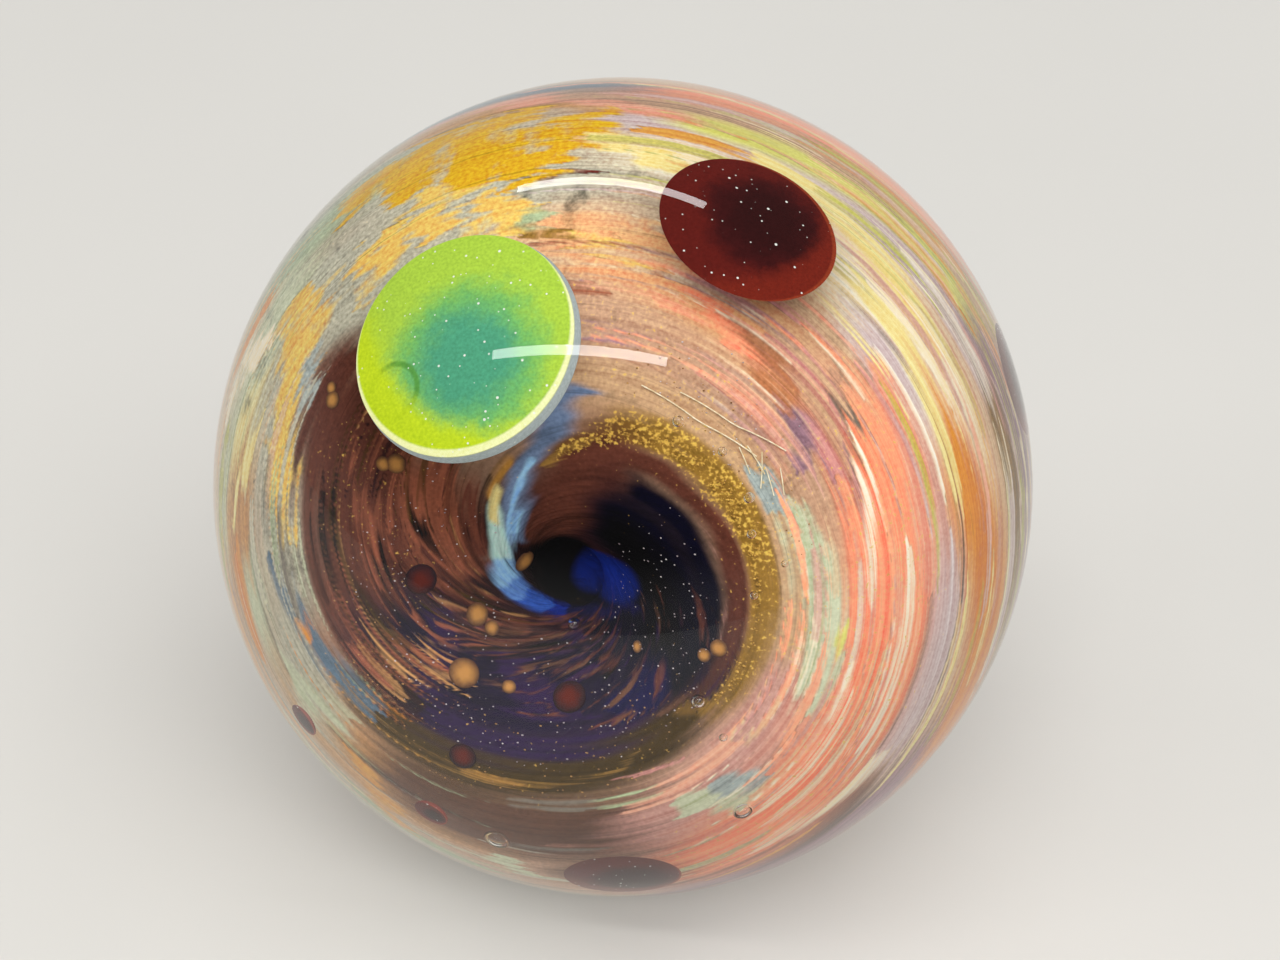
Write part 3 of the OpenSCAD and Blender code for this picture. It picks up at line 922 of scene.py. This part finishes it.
# Lime opal glass with a teal middle: bright and cloudy. Garnet glass: nearly black, with painted brown light
# low down. In each, the fifth colour is painted light low down, and the sixth a painted highlight along the
# rim.
LIME = dot_glass(
    "lime and teal opal glass", "#4a9472", "#6eac5a", "#a0c040", "#4f8a34", "#b8cc1c", "#ece9b6", "#b4bfc0")
GARNET = dot_glass(
    "garnet glass", "#2c0d0d", "#380f0f", "#561712", "#380f0f", "#6c2014", "#8c3820", "#6e2418")
seat = bowl(TEAL_D, TEAL_DEPTH)
green_top = dome(GREEN_D / 2)
beyond = green_top[0] > seat[0][0] * 1.001
collar = [np.concatenate([seat[i][::-1], green_top[i][beyond]]) for i in (0, 1)]
tub_form = tub(GREEN_D, GREEN_DEPTH, GREEN_ROUND)
teal_top = dome(lens_rim(TEAL_D, TEAL_DEPTH))
dot_piece("green_dot", "green_glass", collar, tub_form, GREEN_AT, GREEN_D / 2, LIME)
dot_piece("teal_middle", "teal_glass", teal_top, seat, GREEN_AT, GREEN_D / 2, LIME)
for dot_name, dot_d, dot_at in RED_DOTS:
    dot_depth = RED_DEPTH + BALL_R - math.sqrt(BALL_R ** 2 - (dot_d / 2) ** 2)
    dot_piece(dot_name, "red_glass", dome(lens_rim(dot_d, dot_depth)), bowl(dot_d, dot_depth),
              dot_at, dot_d / 2, GARNET)


# What is caught in the glass lies along paths over the core
BED_LINES, PLACE_STEPS = 7, 12


def bed_mesh(paths, lift):
    """Strips of faces over the core along paths, each with its half width, at a height above it"""
    points, faces = [], []
    for half, places in paths:
        fine = np.linspace(0, len(places) - 1, PLACE_STEPS * len(places))
        theta, s = (np.interp(fine, range(len(places)), column)[None] for column in zip(*places))
        s = s + np.linspace(-half, half, BED_LINES)[:, None]
        faces += (grid_faces(BED_LINES, len(fine)) + sum(map(len, points))).tolist()
        points.append(placed(*section(s, -lift), theta.repeat(BED_LINES, 0)).reshape(-1, 3))
    mesh = bpy.data.meshes.new("bed")
    mesh.from_pydata(np.concatenate(points).tolist(), [], faces)
    return mesh


def fibre_lines(paths, lift):
    """Lines of edges over the core along paths, at a height above it"""
    points, edges = [], []
    for places in paths:
        share = np.linspace(0, len(places) - 1, PLACE_STEPS)
        theta, s = (np.interp(share, range(len(places)), column) for column in zip(*places))
        edges += [(len(points) + i, len(points) + i + 1) for i in range(PLACE_STEPS - 1)]
        points += placed(*section(s, -lift), theta).tolist()
    mesh = bpy.data.meshes.new("lines")
    mesh.from_pydata(points, edges, [])
    return mesh


def growth_tree(name, **kinds):
    """A tree of nodes that grows pieces, with an input of each kind: the tree, what adds a node to it, and
    what its inputs give"""
    tree = bpy.data.node_groups.new(name, "GeometryNodeTree")
    for key, kind in {"Geometry": "Geometry", **kinds, "Finish": "Material"}.items():
        tree.interface.new_socket(key, in_out="INPUT", socket_type="NodeSocket" + kind)
    tree.interface.new_socket("Geometry", in_out="OUTPUT", socket_type="NodeSocketGeometry")
    add = partial(node, tree)
    return tree, add, add("NodeGroupInput").outputs


def dress(add, mesh, given):
    """Ends a tree with the finish that it is given"""
    dressed = add("GeometryNodeSetMaterial", {"Geometry": mesh, "Material": given["Finish"]})
    add("NodeGroupOutput", {0: dressed.outputs["Geometry"]})


def set_out(add, points, rotation, form, size, given):
    """Ends a tree with a form on each point, turned and stretched, and smooth"""
    scale = add("ShaderNodeVectorMath", {0: form.outputs[0], "Scale": size}, operation="SCALE")
    put = add("GeometryNodeInstanceOnPoints", {
        "Points": points[0], "Instance": points[1], "Rotation": rotation, "Scale": scale.outputs[0]})
    real = add("GeometryNodeRealizeInstances", {"Geometry": put.outputs["Instances"]})
    smoothed = add("GeometryNodeSetShadeSmooth", {"Geometry": real.outputs["Geometry"]})
    dress(add, smoothed.outputs["Geometry"], given)


def scatter_tree():
    """Grains strewn over a bed, so many to a square metre, of sizes from the smallest to the largest"""
    tree, add, given = growth_tree(
        "strewn grains", Density="Float", Smallest="Float", Largest="Float", Flatness="Float", Seed="Int")
    strewn = add("GeometryNodeDistributePointsOnFaces", {
        "Mesh": given["Geometry"], "Density": given["Density"], "Seed": given["Seed"]}).outputs
    size = add("FunctionNodeRandomValue", {
        2: given["Smallest"], 3: given["Largest"], "Seed": given["Seed"]}, data_type="FLOAT")
    stretch = add("FunctionNodeRandomValue", {2: 0.7, 3: 1.5, "Seed": given["Seed"]}, data_type="FLOAT")
    form = add("ShaderNodeCombineXYZ", {0: stretch.outputs[1], 1: 1.0, 2: given["Flatness"]})
    grain = add("GeometryNodeMeshIcoSphere", {"Radius": 0.5, "Subdivisions": 1})
    set_out(add, (strewn["Points"], grain.outputs["Mesh"]), strewn["Rotation"], form, size.outputs[1], given)
    return tree


def bead_tree():
    """A rounded bead at each point, of the diameter stored with it and flattened along its own direction. It
    stores how far each of its points lies from its middle, as a share of its radius."""
    tree, add, given = growth_tree("set beads", Flatness="Float", Splits="Int")
    out = add("GeometryNodeInputNamedAttribute", {"Name": "out"}, data_type="FLOAT_VECTOR")
    size = add("GeometryNodeInputNamedAttribute", {"Name": "size"}, data_type="FLOAT")
    facing = add("FunctionNodeAlignRotationToVector", {"Vector": out.outputs["Attribute"]}, axis="Z")
    form = add("ShaderNodeCombineXYZ", {0: 1.0, 1: 1.0, 2: given["Flatness"]})
    ball = add("GeometryNodeMeshIcoSphere", {"Radius": 0.5, "Subdivisions": given["Splits"]})
    place = add("GeometryNodeInputPosition").outputs["Position"]
    flat = add("ShaderNodeVectorMath", {0: place, 1: (2, 2, 0)}, operation="MULTIPLY")
    from_middle = add("ShaderNodeVectorMath", {0: flat.outputs[0]}, operation="LENGTH")
    marked = add("GeometryNodeStoreNamedAttribute", {
        "Geometry": ball.outputs["Mesh"], "Name": "from_middle", "Value": from_middle.outputs["Value"]},
        data_type="FLOAT", domain="POINT")
    set_out(add, (given["Geometry"], marked.outputs["Geometry"]), facing.outputs["Rotation"], form,
            size.outputs["Attribute"], given)
    return tree


def fibre_tree():
    """A thin round fibre along each line of edges"""
    tree, add, given = growth_tree("drawn fibres", Radius="Float")
    line = add("GeometryNodeMeshToCurve", {"Mesh": given["Geometry"]})
    ring = add("GeometryNodeCurvePrimitiveCircle", {"Resolution": 8, "Radius": given["Radius"]})
    tube = add("GeometryNodeCurveToMesh", {
        "Curve": line.outputs["Curve"], "Profile Curve": ring.outputs["Curve"], "Fill Caps": True})
    dress(add, tube.outputs["Mesh"], given)
    return tree


def grown(name, mesh, tree, slot, **inputs):
    """The plain mesh that a tree of nodes grows from a mesh, fixed to the ball"""
    source = bpy.data.objects.new(name + "_source", mesh)
    bpy.context.scene.collection.objects.link(source)
    growth = source.modifiers.new("growth", "NODES")
    growth.node_group = tree
    for item in tree.interface.items_tree:
        if item.in_out == "INPUT" and item.name in inputs:
            growth[item.identifier] = inputs[item.name]
    ready = source.evaluated_get(bpy.context.evaluated_depsgraph_get())
    piece = bpy.data.objects.new(name, bpy.data.meshes.new_from_object(ready))
    bpy.context.scene.collection.objects.link(piece)
    bpy.data.objects.remove(source)
    finished(piece, slot)


def bead_points(beads, lift):
    """Points on the core for beads given as angle, distance and diameter in mm, lifted by a share of it"""
    theta, s, size = (np.array(column, float) for column in zip(*beads))
    size = size * MM
    r, z = section(s)
    base = placed(r, z, theta)
    out = placed(*section(s, -MM), theta) - base
    mesh = bpy.data.meshes.new("beads")
    mesh.from_pydata((base + out / MM * (lift * size)[:, None]).tolist(), [], [])
    mesh.attributes.new("out", "FLOAT_VECTOR", "POINT").data.foreach_set("vector", (out / MM).ravel())
    mesh.attributes.new("size", "FLOAT", "POINT").data.foreach_set("value", size)
    return mesh


def grain_material(name, low, high, roughness):
    """Small bright grains, each a little different in colour across itself"""
    mat, add, place = material(name)
    mottle = add("ShaderNodeTexNoise", {"Vector": place, "Scale": 1 / (0.2 * MM), "Detail": 2.0})
    spread = add("ShaderNodeMapRange", {"Value": mottle.outputs["Fac"], "From Min": 0.35, "From Max": 0.65})
    colour = add("ShaderNodeMix", {0: spread.outputs[0], 6: linear(low), 7: linear(high)}, data_type="RGBA")
    opaque(add, colour.outputs[2], roughness)
    return mat


def frit_glass(name, middle, edge):
    """A bead of coloured glass melted in among others: its colour runs out into theirs at its edge"""
    mat, add, place = material(name)
    share = add("ShaderNodeAttribute", attribute_name="from_middle").outputs["Fac"]
    mottle = add("ShaderNodeTexNoise", {"Vector": place, "Scale": 1 / (0.25 * MM), "Detail": 3.0})
    blurred = add("ShaderNodeMath", {0: mottle.outputs["Fac"], 1: 0.5, 2: share}, operation="MULTIPLY_ADD")
    spread = add("ShaderNodeMapRange", {
        "Value": blurred.outputs[0], "From Min": 0.45, "From Max": 1.30}, interpolation_type="SMOOTHSTEP")
    colour = add("ShaderNodeMix", {0: spread.outputs[0], 6: linear(middle), 7: linear(edge)},
                 data_type="RGBA")
    opaque(add, colour.outputs[2], 0.4)
    return mat


# Half width and places of the beds that gold and silver lie on
GOLD_BEDS = [
    (0.016, [(384, 0.58), (400, 0.595), (421, 0.585), (431, 0.56), (446, 0.47)]),
    (0.009, [(338, 0.495), (350, 0.525), (368, 0.56), (386, 0.582)]),
]
DUST_BEDS = [
    (0.040, [(212, 0.585), (240, 0.53), (270, 0.49), (300, 0.465), (335, 0.465)]),
    (0.120, [(140, 0.58), (165, 0.50), (190, 0.44), (215, 0.42)]),
    (0.070, [(380, 0.66), (410, 0.68), (440, 0.70)]),
    (0.050, [(208, 0.48), (240, 0.43), (280, 0.40), (330, 0.40)]),
]
SILVER_BEDS = [
    (0.150, [(190, 0.34), (240, 0.33), (300, 0.30), (350, 0.32), (410, 0.34)]),
    (0.120, [(130, 0.36), (165, 0.40), (190, 0.42)]),
    (0.100, [(400, 0.72), (430, 0.74)]),
]
# Fine cream fibres across the shoulder of the funnel
FIBRES = [
    [(73, 0.670), (58, 0.667), (44, 0.700)], [(65, 0.697), (52, 0.711), (41, 0.758)],
    [(47, 0.700), (40, 0.690)], [(44, 0.715), (38, 0.665)], [(41, 0.700), (35, 0.680)],
    [(48, 0.685), (42, 0.665)], [(39, 0.725), (34, 0.700)],
]
# Angle, distance from the eye and diameter in mm of beads of garnet glass and of bubbles
GARNET_BEADS = [(178, 0.36, 1.2), (284, 0.295, 1.2), (247, 0.485, 1.0)]
BUBBLES = [
    (292, 0.150, 0.45), (262, 0.655, 1.0), (316, 0.710, 0.8), (337, 0.470, 0.55), (62, 0.645, 0.5),
    (38, 0.635, 0.45), (50, 0.655, 0.4), (30, 0.600, 0.4), (14, 0.560, 0.35), (330, 0.555, 0.35),
    (20, 0.640, 0.3),
]
# Frit, leaf, foil and fibre: soft warm spots, a glitter of gold and silver, and pale hairlines
AMBER = frit_glass("amber glass frit", "#c48a48", "#5e3d2c")
GOLD = grain_material("gold leaf grains", "#8e662a", "#dcae54", 0.4)
DUST = grain_material("gold leaf dust", "#7e5836", "#c8985a", 0.4)
SILVER = grain_material("silver foil flecks", "#8a7880", "#e6dcdc", 0.3)
GARNET_FRIT = frit_glass("garnet glass frit", "#5c180c", "#221019")
FIBRE = grain_material("cream glass fibre", "#d9c49a", "#f3e8cc", 0.4)
# Air caught in clear glass: a bright ring where the glass turns light back
AIR = clear_glass("air in clear glass", 0.4 * MM, "#ffffff", "#f1f4f2", 1 / GLASS_IOR)
STREWN, SET, DRAWN = scatter_tree(), bead_tree(), fibre_tree()
grown("gold_grains", bed_mesh(GOLD_BEDS, 0.02 * MM), STREWN, "mustard_glass", Finish=GOLD, Seed=3,
      Density=3.0e7, Smallest=0.03 * MM, Largest=0.11 * MM, Flatness=0.5)
grown("gold_dust", bed_mesh(DUST_BEDS, 0.02 * MM), STREWN, "mustard_glass", Finish=DUST, Seed=4,
      Density=3.2e6, Smallest=0.02 * MM, Largest=0.075 * MM, Flatness=0.5)
grown("silver_flecks", bed_mesh(SILVER_BEDS, 0.03 * MM), STREWN, "clear_glass", Finish=SILVER, Seed=5,
      Density=3.4e6, Smallest=0.02 * MM, Largest=0.065 * MM, Flatness=0.4)
grown("amber_frit", bead_points(AMBER_BEADS, 0.0), SET, "mustard_glass", Finish=AMBER, Flatness=0.14,
      Splits=3)
grown("garnet_frit", bead_points(GARNET_BEADS, 0.0), SET, "red_glass", Finish=GARNET_FRIT, Flatness=0.14,
      Splits=3)
grown("air_bubbles", bead_points(BUBBLES, 0.75), SET, "clear_glass", Finish=AIR, Flatness=0.9, Splits=4)
grown("cream_fibres", fibre_lines(FIBRES, 0.08 * MM), DRAWN, "clear_glass", Finish=FIBRE, Radius=0.025 * MM)

# The clear casing: the outside of the ball, and the wall of the hollow that the core fills
BALL_SPLITS = 7
WALL_COLS, CAP_ROWS, WALL_ROWS = 120, 12, 120
# Fire-polished clear borosilicate glass, with faint cords about 5 mm apart: sharp reflections, a deep lens
CLEAR = clear_glass("fire-polished clear glass", 5 * MM, "#fdfefd", "#f4f9f8", GLASS_IOR)
ball = bmesh.new()
bmesh.ops.create_icosphere(ball, subdivisions=BALL_SPLITS, radius=BALL_R)
ball_points = np.array([v.co for v in ball.verts])
ball_faces = [[v.index for v in f.verts] for f in ball.faces]
ball.free()
wall_polar = np.linspace(0, math.acos((section(bead_edge())[1] - BEAD_Z) / BEAD_R), CAP_ROWS)
wall_s = np.linspace(bead_edge(), BACK_S, WALL_ROWS)
wall_r, wall_z = section(wall_s, WALL_INSET)
cap_r = BEAD_R - WALL_INSET
wall_r = np.concatenate([cap_r * np.sin(wall_polar), wall_r])
wall_z = np.concatenate([BEAD_Z + cap_r * np.cos(wall_polar), wall_z])
points, faces, row, theta = turned_form(wall_r, wall_z, WALL_COLS)
inside_out = [[i + len(ball_points) for i in reversed(face)] for face in faces]
casing = mesh_piece("casing_glass", np.concatenate([ball_points, points]), ball_faces + inside_out, CLEAR)
finished(casing, "clear_glass", "clear_casing")

# The floor, surroundings, lamps and camera. The floor is matt paper with a faint mottle: a calm ground for
# the ball's shadow.
PAPER, add, place = material("pale paper")
mottle = add("ShaderNodeTexNoise", {"Vector": place, "Scale": 1 / (30 * MM), "Detail": 3.0})
shades = add("ShaderNodeMix", {0: mottle.outputs["Fac"], 6: linear("#cdcbc6"), 7: linear("#d2d0cb")},
             data_type="RGBA")
matt = add("ShaderNodeBsdfPrincipled", {"Base Color": shades.outputs[2], "Roughness": 0.9})
add("ShaderNodeOutputMaterial", {"Surface": matt.outputs["BSDF"]})
FLOOR_W = 0.9
corner = FLOOR_W / 2
corners = [(-corner, -corner), (corner, -corner), (corner, corner), (-corner, corner)]
floor = mesh_piece("floor", np.array([(x, y, -BALL_R) for x, y in corners]), [[0, 1, 2, 3]], PAPER)

world = bpy.data.worlds.new("soft studio")
world.use_nodes = True
backdrop = world.node_tree.nodes["Background"]
backdrop.inputs["Color"].default_value = linear("#f6f5f3")
# Lighter low down, where the ball mirrors it next to the floor
rise = node(world.node_tree, "ShaderNodeSeparateXYZ", {
    0: node(world.node_tree, "ShaderNodeTexCoord").outputs["Generated"]})
level = node(world.node_tree, "ShaderNodeMapRange", {
    "Value": rise.outputs[2], "From Min": 0.0, "From Max": 0.35, "To Min": 0.45, "To Max": 0.10},
    interpolation_type="SMOOTHSTEP")
world.node_tree.links.new(level.outputs[0], backdrop.inputs["Strength"])
bpy.context.scene.world = world

# Name, direction from the ball, direction of the width, width and height in metres, power in watts, and
# whether glass mirrors the lamp
LAMP_FAR = 0.6
LAMPS = [
    ("overhead panel", (0.18, -0.30, 0.94), (1, 0, 0), 0.70, 0.50, 3.7, False),
    ("front panel", (0.10, -0.60, 0.79), (1, 0, 0), 0.50, 0.30, 1.1, False),
    ("back strip", (-0.027, 0.646, 0.763), (0.670, -0.122, 0.127), 0.40, 0.030, 0.33, True),
    ("top strip", (-0.19, -0.24, 0.952), (0.853, -0.169, 0.135), 0.50, 0.030, 0.50, True),
    ("left panel", (-0.85, -0.25, 0.46), (0, 1, 0), 0.20, 0.40, 0.5, False),
]
for lamp_name, aim, run, wide, high, power, mirrored in LAMPS:
    lamp = bpy.data.lights.new(lamp_name, "AREA")
    lamp.shape = "RECTANGLE"
    lamp.size, lamp.size_y, lamp.energy = wide, high, power
    holder = bpy.data.objects.new(lamp_name, lamp)
    outward = Vector(aim).normalized()
    upright = outward.cross(Vector(run)).normalized()
    holder.location = outward * LAMP_FAR
    holder.rotation_euler = Matrix((upright.cross(outward), upright, outward)).transposed().to_euler()
    holder.visible_glossy = mirrored
    bpy.context.scene.collection.objects.link(holder)

# The camera looks down at the front, at the photograph's height
IMAGE_W, FOCAL_PX, SENSOR_W = 1280, 6000, 36.0
CAMERA_RISE = math.radians(38)
CAMERA_FAR = 0.2567
CAMERA_SIDE, CAMERA_UP = 0.726 * MM, 0.299 * MM
view = Vector((0, -math.cos(CAMERA_RISE), math.sin(CAMERA_RISE)))
view_up = Vector((0, math.sin(CAMERA_RISE), math.cos(CAMERA_RISE)))
camera = bpy.data.objects.new("camera", bpy.data.cameras.new("camera"))
camera.data.sensor_width = SENSOR_W
camera.data.lens = SENSOR_W * FOCAL_PX / IMAGE_W
camera.data.clip_start = 0.01
camera.location = view * CAMERA_FAR + Vector((1, 0, 0)) * CAMERA_SIDE + view_up * CAMERA_UP
camera.rotation_euler = view.to_track_quat("Z", "Y").to_euler()
bpy.context.scene.collection.objects.link(camera)
bpy.context.scene.camera = camera
bpy.context.scene.view_settings.view_transform = "Standard"
